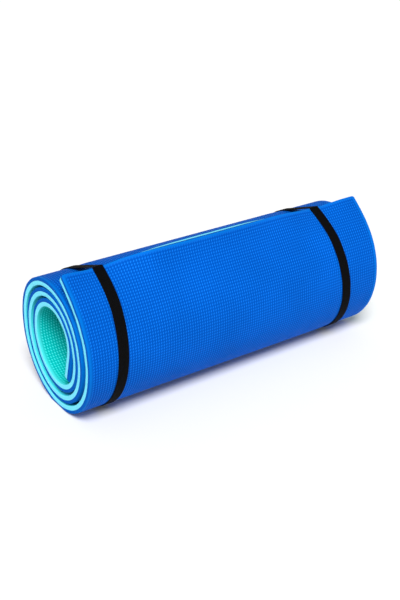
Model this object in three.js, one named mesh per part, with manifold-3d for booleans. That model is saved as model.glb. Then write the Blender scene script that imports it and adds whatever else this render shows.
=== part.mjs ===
// A rolled foam sleeping pad: a two-layer laminated mat, rolled about three and a third turns and
// held by two sewn elastic straps. Millimetres, +Z up. The roll lies along X, its outer free end
// is on the front (-Y) side at the top, and the mat rests on Z = 0 between the straps, which
// squeeze it a little slimmer at its ends.
import Module from 'manifold-3d';
import * as THREE from 'three';
import { mergeVertices } from 'three/addons/utils/BufferGeometryUtils.js';

// The mat
const MAT_WIDTH = 600; // along the roll's axis
const OUTER_FOAM = 6; // thickness of the blue layer, outside the roll
const INNER_FOAM = 7.7; // thickness of the turquoise layer, inside the roll
const GAP = 0.3; // between pieces that touch

// The spiral: control radii of the bond line between the layers, one every 45 degrees. Angles run
// from the front (-Y) up over the top (+Z), and the turns are looser at the back than at the front.
const CONTROL_STEP = 45;
const CONTROL_START = -45;
const CONTROL_RADII = [
  58, 54, 68.5, 75, 71, 64, 66, 72, 77, // the innermost turn
  72, 82, 91, 91, 87, 90, 96, 92, // the middle turn, pressed against the next one at the front
  87, 98, 107, 110, 105, 108, 110, 111, // the outermost whole turn
  113, 125, 146, // the outer end, standing away from the roll
];
const SPIRAL_START = 25;
const SPIRAL_END = 1130;
const SPIRAL_STEP = 5;

// The free ends spring straight: the bend dies away over the settle length.
const INNER_END = { length: 76, bendRadius: 20, settle: 11 };
const OUTER_END = { length: 58, bendRadius: 100, settle: 13 };
const END_STEP = 6;

// The flat that the roll is pressed to underneath
const FLAT_DEPTH = 114.4; // down from the roll's axis
const SQUEEZED_DEPTH = 112.4; // the same at the roll's ends, under the straps and outside them
const SQUEEZED_LENGTH = 71; // in from each end of the roll
const CUTTER = { width: 200, height: 20, overrun: 5 };

// The straps
const STRAP_WIDTH = 19;
const STRAP_THICKNESS = 1.4;
const STRAP_STEP = 3; // degrees
const LAP_START = 157; // the sewn lap, high on the back
const LAP_END = 172;
const STRAPS = {
  strap_left: { inset: 60, side: -1, skew: 0.05 }, // inset from the mat's edge, skew in X per unit of Z
  strap_right: { inset: 74, side: 1, skew: -0.12 },
};

// The stitching: a zigzag across each end of the lap, joined by one run along its edge
const THREAD_RADIUS = 0.25;
const ZIGZAG_REACH = 7; // each side of the strap's middle
const ZIGZAG_HALF_WAVES = 7;
const ZIGZAG_HEIGHT = 0.6; // degrees around the roll, each way
const ZIGZAG_INSET = 2.5; // degrees in from the lap's ends
const LINK_POINTS = 4;
const STEPS_PER_POINT = 4;

const COLOURS = {
  blue: 0x0462d6,
  turquoise: 0x18c9bd,
  black: 0x141414,
  thread: 0x262626,
};

const radians = THREE.MathUtils.degToRad;

// The bond line's radius at an angle, as a uniform cubic B-spline of the control radii.
function bondRadius(angle) {
  const place = (angle - CONTROL_START) / CONTROL_STEP;
  const first = Math.floor(place) - 1;
  const t = place - Math.floor(place);
  const weights = [
    (1 - t) ** 3,
    3 * t ** 3 - 6 * t ** 2 + 4,
    -3 * t ** 3 + 3 * t ** 2 + 3 * t + 1,
    t ** 3,
  ];
  return weights.reduce((sum, w, k) => sum + (w / 6) * (CONTROL_RADII[first + k] ?? 0), 0);
}

// A point of the section: x is towards the front and y is up, both from the roll's axis.
function polar(radius, angle) {
  return new THREE.Vector2(radius * Math.cos(radians(angle)), radius * Math.sin(radians(angle)));
}

// A free end: it carries on from a point and a heading, with a bend that dies away.
function freeEnd(start, heading, turn, end) {
  const points = [];
  const at = start.clone();
  const pieces = Math.round(end.length / END_STEP);
  const step = end.length / pieces;
  for (let k = 0; k < pieces; k += 1) {
    const gone = (k + 0.5) * step;
    const bent = (end.settle / end.bendRadius) * (1 - Math.exp(-gone / end.settle));
    const angle = heading + turn * bent;
    at.add(new THREE.Vector2(Math.cos(angle), Math.sin(angle)).multiplyScalar(step));
    points.push(at.clone());
  }
  return points;
}

// The bond line from the inner end's tip to the outer end's tip.
function bondLine() {
  const spiral = [];
  for (let angle = SPIRAL_START; angle <= SPIRAL_END; angle += SPIRAL_STEP) {
    spiral.push(polar(bondRadius(angle), angle));
  }
  const last = spiral.length - 1;
  const inwards = spiral[0].clone().sub(spiral[1]);
  const outwards = spiral[last].clone().sub(spiral[last - 1]);
  const inner = freeEnd(spiral[0], Math.atan2(inwards.y, inwards.x), -1, INNER_END);
  const outer = freeEnd(spiral[last], Math.atan2(outwards.y, outwards.x), 1, OUTER_END);
  return [...inner.reverse(), ...spiral, ...outer];
}

// A line beside another, this far outside it, and pressed flat underneath.
function beside(line, distance) {
  return line.map((point, k) => {
    const before = line[Math.max(k - 1, 0)];
    const after = line[Math.min(k + 1, line.length - 1)];
    const along = after.clone().sub(before).normalize();
    const moved = point.clone().add(new THREE.Vector2(along.y, -along.x).multiplyScalar(distance));
    moved.y = Math.max(moved.y, -FLAT_DEPTH);
    return moved;
  });
}

const BOND = bondLine();
const MAT_SURFACE = beside(BOND, GAP / 2 + OUTER_FOAM);

// What is left of a line when it is cut off at a depth.
function above(line, depth) {
  const kept = [];
  line.forEach((point, k) => {
    const next = line[k + 1] ?? point;
    if (point.y >= -depth) kept.push(point);
    if ((point.y + depth) * (next.y + depth) < 0) {
      kept.push(point.clone().lerp(next, (point.y + depth) / (point.y - next.y)));
    }
  });
  return kept;
}

const SQUEEZED_SURFACE = above(MAT_SURFACE, SQUEEZED_DEPTH);

const wasm = await Module();
wasm.setup();

function asSolid(geometry) {
  const bare = geometry.clone();
  bare.deleteAttribute('normal');
  bare.deleteAttribute('uv');
  const { attributes, index } = mergeVertices(bare);
  const mesh = { numProp: 3, vertProperties: attributes.position.array, triVerts: index.array };
  return new wasm.Manifold(new wasm.Mesh(mesh));
}

function asGeometry(solid) {
  const { vertProperties, triVerts } = solid.getMesh();
  const geometry = new THREE.BufferGeometry();
  geometry.setAttribute('position', new THREE.BufferAttribute(vertProperties, 3));
  return geometry.setIndex(new THREE.BufferAttribute(triVerts, 1));
}

// Takes the underside of a layer up to the squeezed depth at both ends of the roll.
function squeezedAtEnds(layer) {
  const length = SQUEEZED_LENGTH + CUTTER.overrun;
  const middle = MAT_WIDTH / 2 - SQUEEZED_LENGTH + length / 2;
  const cuts = [-middle, middle].map((along) => {
    const box = new THREE.BoxGeometry(CUTTER.width, CUTTER.height, length);
    return asSolid(box.translate(0, -SQUEEZED_DEPTH - CUTTER.height / 2, along));
  });
  return asGeometry(asSolid(layer).subtract(cuts[0]).subtract(cuts[1]));
}

// A layer of foam between two distances from the bond line, extruded along the roll.
function foamLayer(inside, outside) {
  const outline = [...beside(BOND, outside), ...beside(BOND, inside).reverse()];
  const geometry = new THREE.ExtrudeGeometry(new THREE.Shape(outline), {
    depth: MAT_WIDTH,
    bevelEnabled: false,
  });
  return geometry.translate(0, 0, -MAT_WIDTH / 2);
}

// Where a tight band lies around the roll: the mat's farthest point in a direction, and then
// this much further out. Between the outer end's edge and the roll behind it, the band is straight.
function bandPoint(angle, lift) {
  const direction = polar(1, angle);
  const farthest = SQUEEZED_SURFACE.reduce((a, b) => (b.dot(direction) > a.dot(direction) ? b : a));
  return farthest.clone().addScaledVector(direction, lift);
}

const inLap = (angle) => angle > LAP_START && angle < LAP_END;

// Turns a strap's straight solid askew, as it was pulled on by hand.
function skewed(geometry, skew) {
  return geometry.applyMatrix4(new THREE.Matrix4().makeShear(0, 0, 0, -skew, 0, 0));
}

function strapMiddle({ inset, side }) {
  return side * (MAT_WIDTH / 2 - inset);
}

// A strap: a closed loop of flat elastic, twice as thick at its sewn lap.
function strapLoop(strap) {
  const inner = [];
  const outer = [];
  for (let angle = 0; angle < 360; angle += STRAP_STEP) {
    inner.push(bandPoint(angle, GAP));
    const layers = inLap(angle) ? 2 : 1;
    outer.push(bandPoint(angle, GAP + layers * STRAP_THICKNESS));
  }
  const shape = new THREE.Shape(outer);
  shape.holes.push(new THREE.Path(inner));
  const geometry = new THREE.ExtrudeGeometry(shape, { depth: STRAP_WIDTH, bevelEnabled: false });
  geometry.translate(0, 0, -strapMiddle(strap) - STRAP_WIDTH / 2);
  return skewed(geometry, strap.skew);
}

// The thread that sews a strap's lap, lying on it.
function stitching(strap) {
  const lift = 2 * GAP + 2 * STRAP_THICKNESS + THREAD_RADIUS;
  const points = [];
  const stitch = (angle, across) => {
    const { x, y } = bandPoint(angle, lift);
    points.push(new THREE.Vector3(x, y, across - strapMiddle(strap)));
  };
  const row = (angle, direction) => {
    for (let k = 0; k <= ZIGZAG_HALF_WAVES; k += 1) {
      const across = direction * ZIGZAG_REACH * (1 - (2 * k) / ZIGZAG_HALF_WAVES);
      stitch(angle + (k % 2 ? 1 : -1) * direction * ZIGZAG_HEIGHT, across);
    }
  };
  const low = LAP_START + ZIGZAG_INSET;
  const high = LAP_END - ZIGZAG_INSET;
  row(low, 1);
  for (let k = 1; k <= LINK_POINTS; k += 1) {
    stitch(THREE.MathUtils.lerp(low, high, k / (LINK_POINTS + 1)), -ZIGZAG_REACH);
  }
  row(high, -1);
  const thread = new THREE.Shape().absarc(0, 0, THREAD_RADIUS, 0, 2 * Math.PI);
  const geometry = new THREE.ExtrudeGeometry(thread, {
    steps: (points.length - 1) * STEPS_PER_POINT,
    curveSegments: 3,
    bevelEnabled: false,
    extrudePath: new THREE.CatmullRomCurve3(points),
  });
  return skewed(geometry, strap.skew);
}

function named(name, geometry, color, roughness) {
  const material = new THREE.MeshStandardMaterial({ color, roughness, metalness: 0 });
  const mesh = new THREE.Mesh(geometry, material);
  mesh.name = name;
  return mesh;
}

// The roll, drawn in section coordinates (front, up, and along -X) and turned into place.
function sleepingPad() {
  const roll = new THREE.Group();
  roll.setRotationFromMatrix(new THREE.Matrix4().makeBasis(
    new THREE.Vector3(0, -1, 0),
    new THREE.Vector3(0, 0, 1),
    new THREE.Vector3(-1, 0, 0),
  ));
  const outer = squeezedAtEnds(foamLayer(GAP / 2, GAP / 2 + OUTER_FOAM));
  const inner = foamLayer(-GAP / 2 - INNER_FOAM, -GAP / 2);
  roll.add(named('foam_outer_layer', outer, COLOURS.blue, 0.75));
  roll.add(named('foam_inner_layer', inner, COLOURS.turquoise, 0.8));
  for (const [name, strap] of Object.entries(STRAPS)) {
    roll.add(named(name, strapLoop(strap), COLOURS.black, 0.85));
    roll.add(named(`${name}_stitching`, stitching(strap), COLOURS.thread, 0.7));
  }
  roll.position.z = FLAT_DEPTH;
  const middle = new THREE.Box3().setFromObject(roll).getCenter(new THREE.Vector3());
  roll.position.y = -middle.y;
  const pad = new THREE.Group();
  pad.add(roll);
  return pad;
}

export default sleepingPad();
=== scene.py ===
import math

import bmesh
import bpy
import numpy as np
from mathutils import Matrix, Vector

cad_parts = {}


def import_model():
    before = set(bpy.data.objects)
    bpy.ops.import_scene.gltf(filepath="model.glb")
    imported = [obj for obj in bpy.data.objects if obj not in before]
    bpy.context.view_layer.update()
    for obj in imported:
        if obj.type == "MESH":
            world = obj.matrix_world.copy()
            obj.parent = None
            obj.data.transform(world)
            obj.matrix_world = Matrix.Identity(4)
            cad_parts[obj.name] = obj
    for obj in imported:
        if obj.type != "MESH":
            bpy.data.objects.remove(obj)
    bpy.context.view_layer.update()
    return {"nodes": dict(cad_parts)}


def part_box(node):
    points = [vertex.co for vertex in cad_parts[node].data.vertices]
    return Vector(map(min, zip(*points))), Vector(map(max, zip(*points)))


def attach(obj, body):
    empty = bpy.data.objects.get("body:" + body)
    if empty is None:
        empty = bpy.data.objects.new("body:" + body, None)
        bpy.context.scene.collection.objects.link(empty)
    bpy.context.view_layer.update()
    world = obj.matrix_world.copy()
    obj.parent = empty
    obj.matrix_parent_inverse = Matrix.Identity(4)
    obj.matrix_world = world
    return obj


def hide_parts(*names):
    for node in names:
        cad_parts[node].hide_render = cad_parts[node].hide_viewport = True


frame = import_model()

MM = 0.001

# The mat, as the CAD part has it. The section is drawn in (front, up) from the roll's axis.
MAT_WIDTH = 600 * MM
OUTER_FOAM = 6 * MM
INNER_FOAM = 7.7 * MM
GAP = 0.3 * MM  # between the layers in the CAD part, and between the mat and the straps
BOND_GAP = 0.1 * MM  # the two layers are heat-bonded, so less of a line shows between them

# The bond line between the layers: radii in mm, one to each control step in degrees. The radii
# are the rounded result of a least-squares fit to the photographed spiral.
CONTROL_STEP = 45
CONTROL_START = -45
CONTROL_RADII = (
    58, 54, 68.5, 75, 71, 64, 66, 72, 77,
    72, 82, 91, 91, 87, 90, 96, 92,
    87, 98, 107, 110, 105, 108, 110, 111,
    113, 125, 146,
)
SPIRAL_START = 25
SPIRAL_END = 1130
SPIRAL_STEP = 5

# The two ends that spring straight, in mm; turn is the way each bends
INNER_END = {"length": 76, "bend_radius": 20, "settle": 11, "turn": -1}
OUTER_END = {"length": 58, "bend_radius": 100, "settle": 13, "turn": 1}
END_STEP = 6
LINE_SPACING = 0.5 * MM

# The flat underneath, a little higher at the ends, which the straps squeeze
FLAT_DEPTH = 114.4 * MM
SQUEEZED_DEPTH = 112.4 * MM
FLAT_EDGES = (205 * MM, 227 * MM)  # from the middle: where the squeeze begins and is complete

# The embossed skin: rows of small grains that run around the roll
COLUMNS = 253  # steps across the mat, two to each row of grains
COLUMN_SHARE = 11  # fine steps to each coarse one, where the skin is out of sight
ROW_SPACING = 2.6 * MM  # two to each grain
HIDDEN_SPACING = 8 * MM
EMBOSS_DEPTH = 0.45 * MM
GRAIN_DIP = 0.75  # how far the skin falls between one grain and the next in its row
PLAIN_MARGIN = 5 * MM  # the grain comes in over this width
PLAIN_SHARE = 0.6  # and this share of it from the edge has none
EDGE_RADIUS = 0.9 * MM
CORNER_RADIUS = 5 * MM  # the mat's four corners
EDGE_STEP = 0.3  # an edge is rounded by way of a point this share of its radius from the side
TIP_ROWS = (0, 0.27 * MM, EDGE_RADIUS, 1.8 * MM, 3.2 * MM)
RIM = 9 * MM  # the skin is paler along the mat's edges
FLAT_GRAIN = 0.5  # the height of skin that has no grain, between groove and crest
SHARP_ANGLE = 50  # degrees between two faces that meet in a sharp edge
OUTER_EMBOSS_FROM = 765  # degrees along the spiral
INNER_EMBOSS_TO = 420
INNER_EMBOSS_FROM = 1000

# What the straps do to the foam
BULGE = 0.8 * MM  # between the straps, beyond the CAD surface
BULGE_RUN = 22 * MM
BULGE_RAMP = 20  # degrees along the spiral over which it comes in
FREE_EDGE_RUN = 80 * MM  # over this length the free end turns outwards between the straps
FREE_EDGE_TURN = 34  # degrees at the edge
FREE_EDGE_RISE = 1 * MM  # the mat is not cut quite straight
FREE_EDGE_PRESS = 0.45  # a share of the turn, which the straps turn it inwards by
FREE_EDGE_SPRING = {"run": 60 * MM, "share": 0.85}  # how it springs back outside the straps
FREE_EDGE_LEAN = 0.3  # moves its widest place towards the left strap
FREE_EDGE_SHAPE = (3, 1.5)  # how flat its middle is, and how softly it leaves the straps
EDGE_WAVER = 0.35 * MM  # the cut edges are never quite straight
WAVES = 5
WAVE_LENGTHS = (25 * MM, 160 * MM)

# The straps
STRAP_WIDTH = 19 * MM
STRAP_THICKNESS = 1.4 * MM
LAP_START = 157
LAP_END = 172
LAP_RAMP = 9  # degrees over which the upper layer climbs on to the lower one
LAP_LEAD = 1.15  # it starts to climb this many ramps before the lap
LAP_GAP = 0.25 * MM
STRAP_EDGE_LEVELS = (0.7, 0.3)  # its side edges' points, as shares of the thickness
SELVEDGE_RELIEF = STRAP_THICKNESS / 5
ANGLE_STEP = 0.5  # degrees between the directions in which the tight band is sought
STRAP_STEP = 2.5 * MM
STRAP_BEND = 12 * MM  # steps lie closer at a bend, as if it were this much longer per radian
CORDS = 13  # rubber cords across the strap's width
CORD_RELIEF = 0.14 * MM
PICK = 1.1 * MM  # the weave's repeat along the strap
STRAPS = {
    "strap_left": {"inset": 60 * MM, "side": -1, "skew": 0.05, "body": "left_strap"},
    "strap_right": {"inset": 74 * MM, "side": 1, "skew": -0.12, "body": "right_strap"},
}

# The camera, from a point near the roll's middle
LENS = 59.86
AIM = Vector((-8.0, 3.7, -2.9)) * MM  # from the middle of the roll's axis
AZIMUTH = -34.78
ELEVATION = 26.63
DISTANCE = 1769.3 * MM

# The light: a soft sun, and white walls that darken towards the ceiling
KEY_TOWARDS = (-0.33, -0.53, 0.78)
KEY_STRENGTH = 3.7
KEY_WIDTH = 24  # degrees
WALL_FADE = (0.12, 0.4, 1.0, 0.3)  # from and to this height of view, and the strengths there
FLOOR_REACH = 9.0
FLOOR_WHITE = 0.84

# The foam's looks
SKIN_ROUGHNESS = 0.7
CUT_ROUGHNESS = 0.85
FOAM_SPECULAR = 0.03
GRAIN_GLOSS = 0.32  # how much less rough a grain's crest is
RIM_SHARE = 0.8
HOLLOW_SHADE_SHARE = 0.35  # of the painted shade in the cut cells' hollows


# ---------------------------------------------------------------- the section

def bond_radius(angle):
    """The bond line's radius, as a uniform cubic B-spline of the control radii."""
    place = (angle - CONTROL_START) / CONTROL_STEP
    first = math.floor(place) - 1
    t = place - math.floor(place)
    weights = ((1 - t) ** 3, 3 * t**3 - 6 * t**2 + 4, -3 * t**3 + 3 * t**2 + 3 * t + 1, t**3)
    known = zip(weights, CONTROL_RADII[first:first + 4])
    return sum(w * r for w, r in known) / 6 * MM


def free_end(start, heading, end):
    """A mat's end that springs straight: its bend dies away over the settle length."""
    pieces = round(end["length"] / END_STEP)
    step = end["length"] / pieces
    at, points = start, []
    for k in range(pieces):
        gone = (k + 0.5) * step
        bent = end["settle"] / end["bend_radius"] * (1 - math.exp(-gone / end["settle"]))
        angle = heading + end["turn"] * bent
        at = at + step * MM * np.array([math.cos(angle), math.sin(angle)])
        points.append(at)
    return points


def cad_points():
    """The bond line's points from the inner end's tip to the outer end's, as in the CAD part."""
    spiral = []
    for angle in range(SPIRAL_START, SPIRAL_END + 1, SPIRAL_STEP):
        turn = math.radians(angle)
        spiral.append(bond_radius(angle) * np.array([math.cos(turn), math.sin(turn)]))
    inwards = spiral[0] - spiral[1]
    outwards = spiral[-1] - spiral[-2]
    inner = free_end(spiral[0], math.atan2(inwards[1], inwards[0]), INNER_END)
    outer = free_end(spiral[-1], math.atan2(outwards[1], outwards[0]), OUTER_END)
    return np.array(inner[::-1] + spiral + outer)


def lengths_along(points):
    steps = np.linalg.norm(np.diff(points, axis=0), axis=1)
    return np.concatenate(([0], np.cumsum(steps)))


def smooth_line(points, spacing):
    """A smooth line through the points, sampled this closely."""
    at = lengths_along(points)
    slopes = np.gradient(points, at, axis=0)
    where = np.linspace(0, at[-1], round(at[-1] / spacing) + 1)
    k = np.clip(np.searchsorted(at, where, side="right") - 1, 0, len(at) - 2)
    gap = (at[k + 1] - at[k])[:, None]
    t = (where - at[k])[:, None] / gap
    return (
        (2 * t**3 - 3 * t**2 + 1) * points[k]
        + (t**3 - 2 * t**2 + t) * gap * slopes[k]
        + (3 * t**2 - 2 * t**3) * points[k + 1]
        + (t**3 - t**2) * gap * slopes[k + 1]
    )


def unit(vectors):
    return vectors / np.linalg.norm(vectors, axis=-1, keepdims=True)


def smoothstep(x):
    x = np.clip(x, 0, 1)
    return x * x * (3 - 2 * x)


BOND = smooth_line(cad_points(), LINE_SPACING)
ALONG = unit(np.gradient(BOND, axis=0))
OUTWARD = np.stack((ALONG[:, 1], -ALONG[:, 0]), axis=1)
ANGLE = np.degrees(np.unwrap(np.arctan2(BOND[:, 1], BOND[:, 0])))
ANGLE += 360 * round((SPIRAL_END - ANGLE[-1]) / 360)
OUTER_SKIN = BOND + OUTWARD * (GAP / 2 + OUTER_FOAM)

# The roll's axis, from where the CAD part has the outer layer
outer_low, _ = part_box("foam_outer_layer")
AXIS = Vector((0, outer_low.y + OUTER_SKIN[:, 0].max(), outer_low.z + FLAT_DEPTH))


def world(x, section):
    """Points of the row frame, from places along the roll and points of the section."""
    front, up = section[..., 0], section[..., 1]
    x = np.broadcast_to(x, front.shape)
    return np.stack((x, AXIS.y - front, AXIS.z + up), axis=-1)


def strap_middle(strap, up):
    """Where a strap's middle is along the roll, at a height from the axis."""
    return strap["side"] * (MAT_WIDTH / 2 - strap["inset"]) + strap["skew"] * up


def between_straps(x, up):
    """How far a place is inside the left strap's inner edge, and inside the right one's."""
    left = x - strap_middle(STRAPS["strap_left"], up) - STRAP_WIDTH / 2
    right = strap_middle(STRAPS["strap_right"], up) - STRAP_WIDTH / 2 - x
    return left, right


def free_turn(x, up):
    """The share of its full turn outwards that the free edge makes at a place along the roll:
    1 where it opens widest, and less than 0 where the straps press it down."""
    left, right = between_straps(x, up)
    outside = np.maximum(-left, -right) - STRAP_WIDTH
    left, right = np.maximum(left, 0), np.maximum(right, 0)
    share = left / np.maximum(left + right, 1e-9)
    share = share + FREE_EDGE_LEAN * share * (1 - share)
    flatness, softness = FREE_EDGE_SHAPE
    open_share = (1 - np.abs(2 * share - 1) ** flatness) ** softness
    sprung = FREE_EDGE_SPRING["share"] * smoothstep(outside / FREE_EDGE_SPRING["run"])
    return (1 + FREE_EDGE_PRESS) * open_share - FREE_EDGE_PRESS * (1 - sprung)


def free_edge():
    """What a full turn outwards does to the bond line: its turn, and its shift as two parts,
    which grow with the turn and with its square."""
    at = lengths_along(BOND)
    step = np.gradient(at)[:, None]
    free = np.clip(1 - (at[-1] - at) / FREE_EDGE_RUN, 0, 1)[:, None]
    turn = math.radians(FREE_EDGE_TURN) * free
    out_by = np.cumsum(turn * OUTWARD * step, axis=0)
    back_by = -np.cumsum(turn**2 / 2 * ALONG * step, axis=0)
    return turn, out_by + FREE_EDGE_RISE * free**2 * ALONG, back_by


def turned(points, outward, bend, share):
    """Points of the bond line and their outward directions, with a share of the full turn."""
    turn, out_by, back_by = bend
    share = np.reshape(share, (-1, 1))
    cos, sin = np.cos(turn * share), np.sin(turn * share)
    across = np.stack((outward[..., 1], -outward[..., 0]), axis=-1)
    return points + share * out_by + share**2 * back_by, cos * outward + sin * across


# ---------------------------------------------------------------- meshes

def new_piece(name, points, faces, materials, face_materials=None, attributes=None):
    """A closed, smooth-shaded mesh object whose faces point outwards."""
    mesh = bpy.data.meshes.new(name)
    mesh.from_pydata(points.tolist(), [], faces)
    for material in materials:
        mesh.materials.append(material)
    if face_materials is not None:
        mesh.polygons.foreach_set("material_index", face_materials)
    for key, values in (attributes or {}).items():
        mesh.attributes.new(key, "FLOAT", "POINT").data.foreach_set("value", values)
    work = bmesh.new()
    work.from_mesh(mesh)
    bmesh.ops.recalc_face_normals(work, faces=work.faces)
    work.to_mesh(mesh)
    work.free()
    mesh.polygons.foreach_set("use_smooth", [True] * len(mesh.polygons))
    mesh.set_sharp_from_angle(angle=math.radians(SHARP_ANGLE))
    piece = bpy.data.objects.new(name, mesh)
    bpy.context.scene.collection.objects.link(piece)
    return piece


def strips(first, second):
    """Quads between two rows of vertices, or fans where one row has several steps to each of
    the other's."""
    if len(first) < len(second):
        first, second = second, first
    share = (len(first) - 1) // (len(second) - 1)
    if share == 1:
        return [
            (first[k], first[k + 1], second[k + 1], second[k]) for k in range(len(first) - 1)
        ]
    faces = []
    for k in range(len(second) - 1):
        start = k * share
        half = share // 2
        for m in range(share):
            apex = second[k] if m < half else second[k + 1]
            faces.append((first[start + m], first[start + m + 1], apex))
        faces.append((first[start + half], second[k + 1], second[k]))
    return faces


# ---------------------------------------------------------------- the foam

def row_places(skin_length, stretches):
    """Places along a layer's skin for its rows of vertices, and whether each is a fine row.
    stretches are (start, end, fine), end to end."""
    places, fine = [], []
    for start, end, is_fine in stretches:
        start, end = max(start, CORNER_RADIUS), min(end, skin_length - CORNER_RADIUS)
        spacing = ROW_SPACING if is_fine else HIDDEN_SPACING
        count = max(round((end - start) / spacing), 1)
        new = np.linspace(start, end, count + 1)
        if places:
            new = new[1:]
        places += list(new)
        fine += [is_fine] * len(new)
    places = [*TIP_ROWS, *places, *(skin_length - t for t in reversed(TIP_ROWS))]
    fine = [fine[0]] * len(TIP_ROWS) + fine + [fine[-1]] * len(TIP_ROWS)
    return np.array(places), np.array(fine)


def rounding(radius, inset):
    """How far a rounded corner or edge falls short, at an inset from its end."""
    left = np.maximum(radius - inset, 0)
    return radius - np.sqrt(np.maximum(radius**2 - left**2, 0))


def waver(places, seed):
    """A slow wander along an edge, between -1 and 1."""
    draw = np.random.default_rng(seed)
    waves = [
        (draw.uniform(*WAVE_LENGTHS), draw.uniform(0, 2 * math.pi)) for _ in range(WAVES)
    ]
    return sum(np.sin(2 * math.pi * places / w + p) for w, p in waves) / len(waves)


def foam_layer(name, skin, bonded, stretches, squeezed, materials, seed):
    """A layer of foam, from its bonded side to its embossed skin, both as distances from the
    bond line. stretches are (from, to, fine) in degrees along the spiral, None for a tip."""
    line = BOND + OUTWARD * skin
    skin_at = lengths_along(line)
    length = skin_at[-1]

    def place_of(angle, tip):
        return tip if angle is None else skin_at[np.argmax(ANGLE >= angle)]

    spans = [(place_of(a, 0.0), place_of(b, length), fine) for a, b, fine in stretches]
    places, fine = row_places(length, spans)
    centre = np.stack([np.interp(places, skin_at, BOND[:, k]) for k in (0, 1)], axis=1)
    normal = unit(np.stack([np.interp(places, skin_at, OUTWARD[:, k]) for k in (0, 1)], axis=1))
    angle = np.interp(places, skin_at, ANGLE)
    outer_turn = smoothstep((angle - OUTER_EMBOSS_FROM) / BULGE_RAMP)
    from_tip = np.minimum(places, length - places)
    sunk = rounding(EDGE_RADIUS, from_tip)
    shy = rounding(CORNER_RADIUS, from_tip)
    bends = [
        np.stack([np.interp(places, skin_at, column) for column in values.T], axis=1)
        for values in free_edge()
    ]
    side = math.copysign(1, skin)
    points, crest_highlight, rim = [], [], []

    def add(row, x, lift, crests):
        """Adds vertices to a row, at places along the roll and distances from the bond line."""
        x, lift = np.broadcast_arrays(x, lift)
        bend = [values[row] for values in bends]
        middle, out = turned(centre[row], normal[row], bend, free_turn(x, centre[row][1]))
        section = middle + lift[:, None] * out
        if squeezed:
            left, right = between_straps(x, section[:, 1])
            bulge = smoothstep(left / BULGE_RUN) * smoothstep(right / BULGE_RUN)
            share = np.clip((lift - bonded) / (skin - bonded), 0, 1)
            section = section + (BULGE * outer_turn[row] * bulge * share)[:, None] * out
            high = smoothstep((np.abs(x) - FLAT_EDGES[0]) / (FLAT_EDGES[1] - FLAT_EDGES[0]))
            depth = FLAT_DEPTH + (SQUEEZED_DEPTH - FLAT_DEPTH) * high
            section[:, 1] = np.maximum(section[:, 1], -depth)
        start = sum(map(len, points))
        points.append(world(x, section))
        crest_highlight.append(np.broadcast_to(crests, x.shape))
        inset = np.minimum(MAT_WIDTH / 2 - np.abs(x), 2 * from_tip[row])
        rim.append(smoothstep(1 - inset / RIM))
        return list(range(start, start + len(x)))

    half = MAT_WIDTH / 2
    fine_x = np.linspace(-half + EDGE_RADIUS, half - EDGE_RADIUS, COLUMNS + 1)
    margin = smoothstep((half - np.abs(fine_x)) / PLAIN_MARGIN - PLAIN_SHARE)
    ridge = np.arange(COLUMNS + 1) % 2
    bonded_x = np.linspace(-half, half, COLUMNS // COLUMN_SHARE + 1)
    wavers = EDGE_WAVER * np.stack((waver(places, seed), waver(places, seed + 1)), axis=1)
    rows = []
    for row in range(len(places)):
        at_tip = smoothstep(from_tip[row] / PLAIN_MARGIN - PLAIN_SHARE)
        grain = ridge * (1 - GRAIN_DIP * (row % 2))
        height = np.full(len(ridge), FLAT_GRAIN)
        if fine[row]:
            height = FLAT_GRAIN + (grain - FLAT_GRAIN) * margin * at_tip
        step = 1 if fine[row] else COLUMN_SHARE
        height = height[::step]
        stretch = 1 + (wavers[row] - shy[row]) / half
        x = np.where(fine_x < 0, fine_x * stretch[0], fine_x * stretch[1])[::step]
        low = sunk[row] * side
        lift = skin - low - side * EMBOSS_DEPTH * (1 - height)
        edge = (-half * stretch[0], half * stretch[1])
        level = skin - low - side * EMBOSS_DEPTH / 2
        arc = side * EDGE_STEP * EDGE_RADIUS
        deep = side * EDGE_RADIUS
        halfway = (level - deep + bonded) / 2
        loop = {"skin": add(row, x, lift, height)}
        for key, end, way in (("left", 0, 1), ("right", 1, -1)):
            inner = edge[end] + way * EDGE_STEP * EDGE_RADIUS
            loop[key] = (
                add(row, [inner], level - arc, FLAT_GRAIN)
                + add(row, [edge[end]], level - deep, FLAT_GRAIN)
                + add(row, [edge[end]], halfway, FLAT_GRAIN)
            )
        across = np.where(bonded_x < 0, bonded_x * stretch[0], bonded_x * stretch[1])
        loop["bonded"] = add(row, across, bonded, FLAT_GRAIN)
        if row in (0, len(places) - 1):
            loop["cap"] = [
                add(row, across[1:-1], at, FLAT_GRAIN)
                for at in (level - arc, level - deep, halfway)
            ]
        rows.append(loop)

    faces, kinds = [], []

    def add_faces(new, kind):
        faces.extend(new)
        kinds.extend([kind] * len(new))

    for this, after in zip(rows, rows[1:]):
        add_faces(strips(this["skin"], after["skin"]), 0)
        add_faces(strips(this["bonded"], after["bonded"]), 1)
        for key, corner in (("left", 0), ("right", -1)):
            a = [this["skin"][corner], *this[key], this["bonded"][corner]]
            b = [after["skin"][corner], *after[key], after["bonded"][corner]]
            quads = strips(a, b)
            add_faces(quads[:1], 0)
            add_faces(quads[1:], 1)

    for loop in (rows[0], rows[-1]):
        lines = [
            [first, *cap, last]
            for first, cap, last in zip(loop["left"], loop["cap"], loop["right"])
        ]
        lines = [loop["skin"], *lines, loop["bonded"]]
        for a, b in zip(lines, lines[1:]):
            add_faces(strips(a, b), 1)

    attributes = {"crest_highlight": np.concatenate(crest_highlight), "rim": np.concatenate(rim)}
    return new_piece(name, np.concatenate(points), faces, materials, kinds, attributes)


# ---------------------------------------------------------------- the straps

def squeezed_surface():
    """The mat's outer surface under the straps."""
    line, out = turned(BOND, OUTWARD, free_edge(), -FREE_EDGE_PRESS)
    surface = line + out * (GAP / 2 + OUTER_FOAM)
    surface[:, 1] = np.maximum(surface[:, 1], -SQUEEZED_DEPTH)
    return surface


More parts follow.
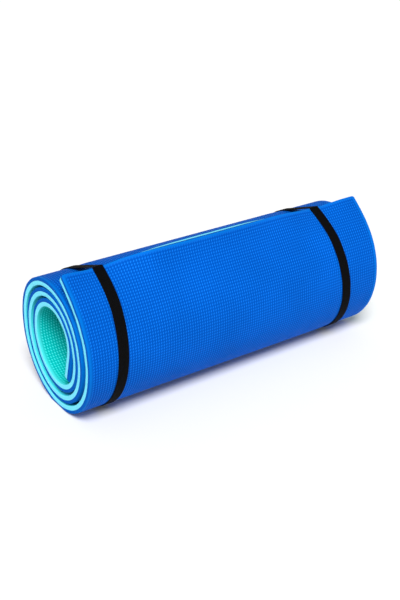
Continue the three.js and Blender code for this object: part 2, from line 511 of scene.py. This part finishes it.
def band_path(start, end):
    """A tight band around the roll: its points, which lie closer where it bends, with their
    outward directions, angles and distances along it."""
    angles = np.arange(start, end + ANGLE_STEP / 2, ANGLE_STEP)
    outward = np.stack((np.cos(np.radians(angles)), np.sin(np.radians(angles))), axis=1)
    surface = squeezed_surface()
    farthest = np.argmax(outward @ surface.T, axis=1)
    points = surface[farthest] + outward * GAP
    at = lengths_along(points)
    measure = at + STRAP_BEND * np.radians(angles - start)
    places = np.linspace(0, measure[-1], round(measure[-1] / STRAP_STEP) + 1)
    path = np.stack([np.interp(places, measure, points[:, k]) for k in (0, 1)], axis=1)
    normal = unit(np.stack([np.interp(places, measure, outward[:, k]) for k in (0, 1)], axis=1))
    return path, normal, np.interp(places, measure, angles), np.interp(places, measure, at)


def strap_piece(name, strap, materials):
    """A strap: a strip of elastic whose end laps over its start. A rubber cord's ridge
    runs along it about every 1.4 mm, inside and out."""
    path, normal, angles, places = band_path(LAP_START, LAP_END + 360)
    climb = smoothstep((angles - LAP_START - 360) / LAP_RAMP + LAP_LEAD)
    lift = climb * (STRAP_THICKNESS + LAP_GAP)
    steps = 2 * CORDS
    across = np.linspace(-0.5, 0.5, steps + 1) * (STRAP_WIDTH - STRAP_THICKNESS / 2)
    relief = CORD_RELIEF * (np.arange(steps + 1) % 2)
    relief[[0, -1]] = SELVEDGE_RELIEF
    top = np.stack((across, STRAP_THICKNESS - relief), axis=1)
    bottom = np.stack((across[::-1], relief), axis=1)
    edge = STRAP_WIDTH / 2
    rim = [STRAP_THICKNESS * share for share in STRAP_EDGE_LEVELS]
    loop = np.concatenate((
        top,
        [(edge, level) for level in rim],
        bottom,
        [(-edge, level) for level in reversed(rim)],
    ))
    count = len(loop)
    points, along, width = [], [], []
    for k in range(len(path)):
        section = path[k] + (lift[k] + loop[:, 1])[:, None] * normal[k]
        middle = strap_middle(strap, section[:, 1])
        points.append(world(middle + loop[:, 0], section))
        along.append(np.full(count, places[k]))
        width.append(loop[:, 0])
    faces = []
    for k in range(len(path) - 1):
        for m in range(count):
            after = (m + 1) % count
            a, b = k * count, (k + 1) * count
            faces.append((a + m, a + after, b + after, b + m))
    for start in (0, (len(path) - 1) * count):
        for m in range(steps):
            low = count - 3 - m
            faces.append((start + m, start + m + 1, start + low - 1, start + low))
        faces.append(tuple(start + m for m in (steps, steps + 1, steps + 2, steps + 3)))
        faces.append(tuple(start + m for m in (count - 3, count - 2, count - 1, 0)))
    attributes = {"along": np.concatenate(along), "across": np.concatenate(width)}
    return new_piece(name, np.concatenate(points), faces, materials, attributes=attributes)


# ---------------------------------------------------------------- materials

class Nodes:
    """A material's nodes, added and linked in one call each."""

    def __init__(self, name):
        self.material = bpy.data.materials.new(name)
        self.material.use_nodes = True
        self.tree = self.material.node_tree
        self.shader = self.tree.nodes["Principled BSDF"]

    def add(self, kind, **inputs):
        """A node. An input is a value, or another node's output to link. Its key is the socket's
        name with _ for a space, or its number after an s. Keys in capitals set the node itself."""
        node = self.tree.nodes.new(kind)
        for key, value in inputs.items():
            if key.isupper():
                setattr(node, key.lower(), value)
        for key, value in inputs.items():
            if key.isupper():
                continue
            number = key[1:]
            place = int(number) if number.isdigit() else key.replace("_", " ")
            self.set(node.inputs[place], value)
        return node

    def set(self, socket, value):
        if isinstance(value, bpy.types.NodeSocket):
            self.tree.links.new(value, socket)
        else:
            socket.default_value = value

    def math(self, operation, *values):
        inputs = {f"s{k}": v for k, v in enumerate(values)}
        return self.add("ShaderNodeMath", OPERATION=operation, **inputs).outputs[0]

    def mix(self, share, first, second):
        node = self.add("ShaderNodeMix", DATA_TYPE="RGBA")
        for number, value in ((0, share), (6, first), (7, second)):
            self.set(node.inputs[number], value)
        return node.outputs[2]

    def attribute(self, name):
        return self.add("ShaderNodeAttribute", ATTRIBUTE_NAME=name).outputs["Fac"]

    def place(self):
        return self.add("ShaderNodeTexCoord").outputs["Object"]

    def noise(self, scale, detail=3.0):
        return self.add(
            "ShaderNodeTexNoise", Vector=self.place(), Scale=scale, Detail=detail
        ).outputs[0]

    def spread(self, value, low, high, to_low, to_high):
        inputs = {"s0": value, "s1": low, "s2": high, "s3": to_low, "s4": to_high}
        return self.add("ShaderNodeMapRange", **inputs).outputs[0]

    def bump(self, height, distance, strength):
        return self.add(
            "ShaderNodeBump", Height=height, Distance=distance, Strength=strength
        ).outputs[0]


def colour(red, green, blue):
    return (red, green, blue, 1.0)


def skin_material(name, groove_shade, crest_highlight, pale):
    """Embossed foam skin: grains smoother than the skin between them, with a painted highlight on
    their crests and painted shade in the grooves, and a paler rim along the mat's edges."""
    nodes = Nodes(name)
    grain = nodes.spread(nodes.attribute("crest_highlight"), 0.25, 0.9, 0.0, 1.0)
    # A painted highlight on the grains' crests and painted shade in the grooves between them.
    base = nodes.mix(grain, groove_shade, crest_highlight)
    base = nodes.mix(nodes.math("MULTIPLY", nodes.attribute("rim"), RIM_SHARE), base, pale)
    cloudy = nodes.spread(nodes.noise(9.0, 2.0), 0.35, 0.65, 0.93, 1.04)
    speckle = nodes.spread(nodes.noise(1400.0, 2.0), 0.3, 0.7, 0.95, 1.05)
    tone = nodes.math("MULTIPLY", cloudy, speckle)
    shaded = nodes.add("ShaderNodeVectorMath", OPERATION="SCALE", s0=base, Scale=tone)
    shader = nodes.shader
    nodes.set(shader.inputs["Base Color"], shaded.outputs[0])
    rough = (SKIN_ROUGHNESS - 0.04, SKIN_ROUGHNESS + 0.06)
    matte = nodes.spread(nodes.noise(60.0), 0.3, 0.7, *rough)
    gloss = nodes.math("MULTIPLY", grain, GRAIN_GLOSS)
    nodes.set(shader.inputs["Roughness"], nodes.math("SUBTRACT", matte, gloss))
    fine = nodes.noise(1900.0, 2.0)
    nodes.set(shader.inputs["Normal"], nodes.bump(fine, 0.00012, 0.5))
    shader.inputs["Specular IOR Level"].default_value = FOAM_SPECULAR
    shader.inputs["Specular Tint"].default_value = colour(0.35, 0.7, 1.0)
    return nodes.material


def cut_material(name, tone, deep):
    """Cut foam: open cells a little under a millimetre across, with painted shade in their
    hollows.
    """
    nodes = Nodes(name)
    cells = nodes.add(
        "ShaderNodeTexVoronoi", Vector=nodes.place(), Scale=1150.0, FEATURE="F1"
    ).outputs["Distance"]
    streaks = nodes.noise(240.0, 4.0)
    hollow_shade = nodes.spread(cells, 0.15, 0.75, 0.0, 1.0)
    # Painted shade in the cells' hollows.
    base = nodes.mix(nodes.math("MULTIPLY", hollow_shade, HOLLOW_SHADE_SHARE), tone, deep)
    shade = nodes.spread(streaks, 0.3, 0.7, 0.93, 1.05)
    shaded = nodes.add("ShaderNodeVectorMath", OPERATION="SCALE", s0=base, Scale=shade)
    shader = nodes.shader
    nodes.set(shader.inputs["Base Color"], shaded.outputs[0])
    shader.inputs["Roughness"].default_value = CUT_ROUGHNESS
    shader.inputs["Specular IOR Level"].default_value = FOAM_SPECULAR
    both = nodes.math("ADD", nodes.math("MULTIPLY", cells, -1.0), streaks)
    nodes.set(shader.inputs["Normal"], nodes.bump(both, 0.0003, 0.6))
    return nodes.material


def elastic_material(name):
    """Black woven elastic: fine picks across the rubber cords, and a dull bloom of lint."""
    nodes = Nodes(name)
    along, across = nodes.attribute("along"), nodes.attribute("across")
    pick = nodes.math("SINE", nodes.math("MULTIPLY", along, 2 * math.pi / PICK))
    cord = nodes.math("SINE", nodes.math("MULTIPLY", across, math.pi * CORDS / STRAP_WIDTH))
    crossed, plain = nodes.math("MULTIPLY", pick, cord), nodes.math("MULTIPLY", pick, 0.5)
    weave = nodes.math("ADD", crossed, plain)
    lint = nodes.spread(nodes.noise(700.0, 4.0), 0.45, 0.8, 0.0, 1.0)
    base = nodes.mix(lint, colour(0.0012, 0.0012, 0.0014), colour(0.004, 0.004, 0.0045))
    shader = nodes.shader
    nodes.set(shader.inputs["Base Color"], base)
    nodes.set(shader.inputs["Roughness"], nodes.spread(weave, -1.0, 1.0, 0.86, 0.72))
    nodes.set(shader.inputs["Normal"], nodes.bump(weave, 0.00012, 0.8))
    shader.inputs["Specular IOR Level"].default_value = 0.05
    return nodes.material


def thread_material(name):
    """Twisted polyester sewing thread, with painted shade in the grooves of its twist."""
    nodes = Nodes(name)
    wave = nodes.add(
        "ShaderNodeTexWave", Vector=nodes.place(), Scale=900.0, Distortion=2.0,
        BANDS_DIRECTION="DIAGONAL",
    ).outputs[1]
    shader = nodes.shader
    # Painted shade: the colour darkens in the twist's grooves, with the same wave that bumps them.
    base = nodes.mix(wave, colour(0.012, 0.012, 0.013), colour(0.04, 0.04, 0.043))
    nodes.set(shader.inputs["Base Color"], base)
    nodes.set(shader.inputs["Normal"], nodes.bump(wave, 0.00008, 0.7))
    shader.inputs["Roughness"].default_value = 0.6
    return nodes.material


def plain_material(name, tone, roughness):
    nodes = Nodes(name)
    nodes.shader.inputs["Base Color"].default_value = tone
    nodes.shader.inputs["Roughness"].default_value = roughness
    nodes.shader.inputs["Specular IOR Level"].default_value = 0.1
    return nodes.material


# ---------------------------------------------------------------- the object

def build_foam():
    # The first two colours of each skin are painted shade in the grooves and a painted highlight
    # on the grains' crests.
    blue_skin = skin_material(
        "blue_foam_skin",
        groove_shade=colour(0.0, 0.07, 0.4),
        crest_highlight=colour(0.005, 0.176, 0.74),
        pale=colour(0.0, 0.147, 0.55),
    )
    # The second colour of each cut is painted shade in its cells' hollows.
    blue_cut = cut_material("blue_foam_cut", colour(0.0, 0.1, 0.46), colour(0.0, 0.05, 0.3))
    teal_skin = skin_material(
        "turquoise_foam_skin",
        groove_shade=colour(0.0, 0.4, 0.385),
        crest_highlight=colour(0.05, 0.76, 0.74),
        pale=colour(0.07, 0.66, 0.7),
    )
    teal_cut = cut_material("turquoise_foam_cut", colour(0.2, 0.74, 0.91), colour(0.09, 0.55, 0.7))
    outer = foam_layer(
        "foam_outer_skin",
        GAP / 2 + OUTER_FOAM,
        BOND_GAP / 2,
        [(None, OUTER_EMBOSS_FROM, False), (OUTER_EMBOSS_FROM, None, True)],
        True,
        [blue_skin, blue_cut],
        seed=11,
    )
    inner = foam_layer(
        "foam_inner_skin",
        -GAP / 2 - INNER_FOAM,
        -BOND_GAP / 2,
        [(None, INNER_EMBOSS_TO, True), (INNER_EMBOSS_TO, INNER_EMBOSS_FROM, False),
         (INNER_EMBOSS_FROM, None, True)],
        False,
        [teal_skin, teal_cut],
        seed=11,
    )
    for piece, node, slot in (
        (outer, "foam_outer_layer", "foam_blue"),
        (inner, "foam_inner_layer", "foam_turquoise"),
    ):
        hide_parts(node)
        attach(piece, "mat")


def build_straps():
    elastic = elastic_material("black_elastic")
    thread = thread_material("black_thread")
    for name, strap in STRAPS.items():
        piece = strap_piece(name + "_webbing", strap, [elastic])
        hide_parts(name)
        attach(piece, strap["body"])
        stitches = frame["nodes"][name + "_stitching"]
        stitches.data.materials.clear()
        stitches.data.materials.append(thread)


# ---------------------------------------------------------------- the studio

def build_floor():
    mesh = bpy.data.meshes.new("studio_floor")
    signs = ((-1, -1), (1, -1), (1, 1), (-1, 1))
    corners = [(x * FLOOR_REACH, y * FLOOR_REACH, 0) for x, y in signs]
    mesh.from_pydata(corners, [], [(0, 1, 2, 3)])
    mesh.materials.append(plain_material("studio_floor", colour(*[FLOOR_WHITE] * 3), 0.9))
    floor = bpy.data.objects.new("studio_floor", mesh)
    bpy.context.scene.collection.objects.link(floor)


def sun(name, towards, strength, spread):
    """A soft sun: towards is the direction to it, spread its width in degrees."""
    light = bpy.data.lights.new(name, "SUN")
    light.energy = strength
    light.angle = math.radians(spread)
    lamp = bpy.data.objects.new(name, light)
    lamp.rotation_euler = (-Vector(towards)).to_track_quat("-Z", "Y").to_euler()
    bpy.context.scene.collection.objects.link(lamp)


def build_lights():
    """White walls that darken towards the ceiling, and one soft key light."""
    world_light = bpy.data.worlds.new("studio")
    world_light.use_nodes = True
    tree = world_light.node_tree
    background = tree.nodes["Background"]
    background.inputs["Color"].default_value = colour(1.0, 1.0, 1.0)
    place = tree.nodes.new("ShaderNodeTexCoord")
    height = tree.nodes.new("ShaderNodeSeparateXYZ")
    fade = tree.nodes.new("ShaderNodeMapRange")
    for socket, value in zip(fade.inputs[1:5], WALL_FADE):
        socket.default_value = value
    tree.links.new(place.outputs["Generated"], height.inputs[0])
    tree.links.new(height.outputs["Z"], fade.inputs[0])
    tree.links.new(fade.outputs[0], background.inputs["Strength"])
    bpy.context.scene.world = world_light
    sun("key", KEY_TOWARDS, KEY_STRENGTH, KEY_WIDTH)


def build_camera():
    azimuth, elevation = math.radians(AZIMUTH), math.radians(ELEVATION)
    back = Vector((
        math.sin(azimuth) * math.cos(elevation),
        -math.cos(azimuth) * math.cos(elevation),
        math.sin(elevation),
    ))
    data = bpy.data.cameras.new("camera")
    data.lens = LENS
    camera = bpy.data.objects.new("camera", data)
    camera.location = AXIS + AIM + DISTANCE * back
    camera.rotation_euler = (-back).to_track_quat("-Z", "Y").to_euler()
    bpy.context.scene.collection.objects.link(camera)
    bpy.context.scene.camera = camera


build_camera()
build_foam()
build_straps()
build_floor()
build_lights()
bpy.context.scene.view_settings.view_transform = "Standard"
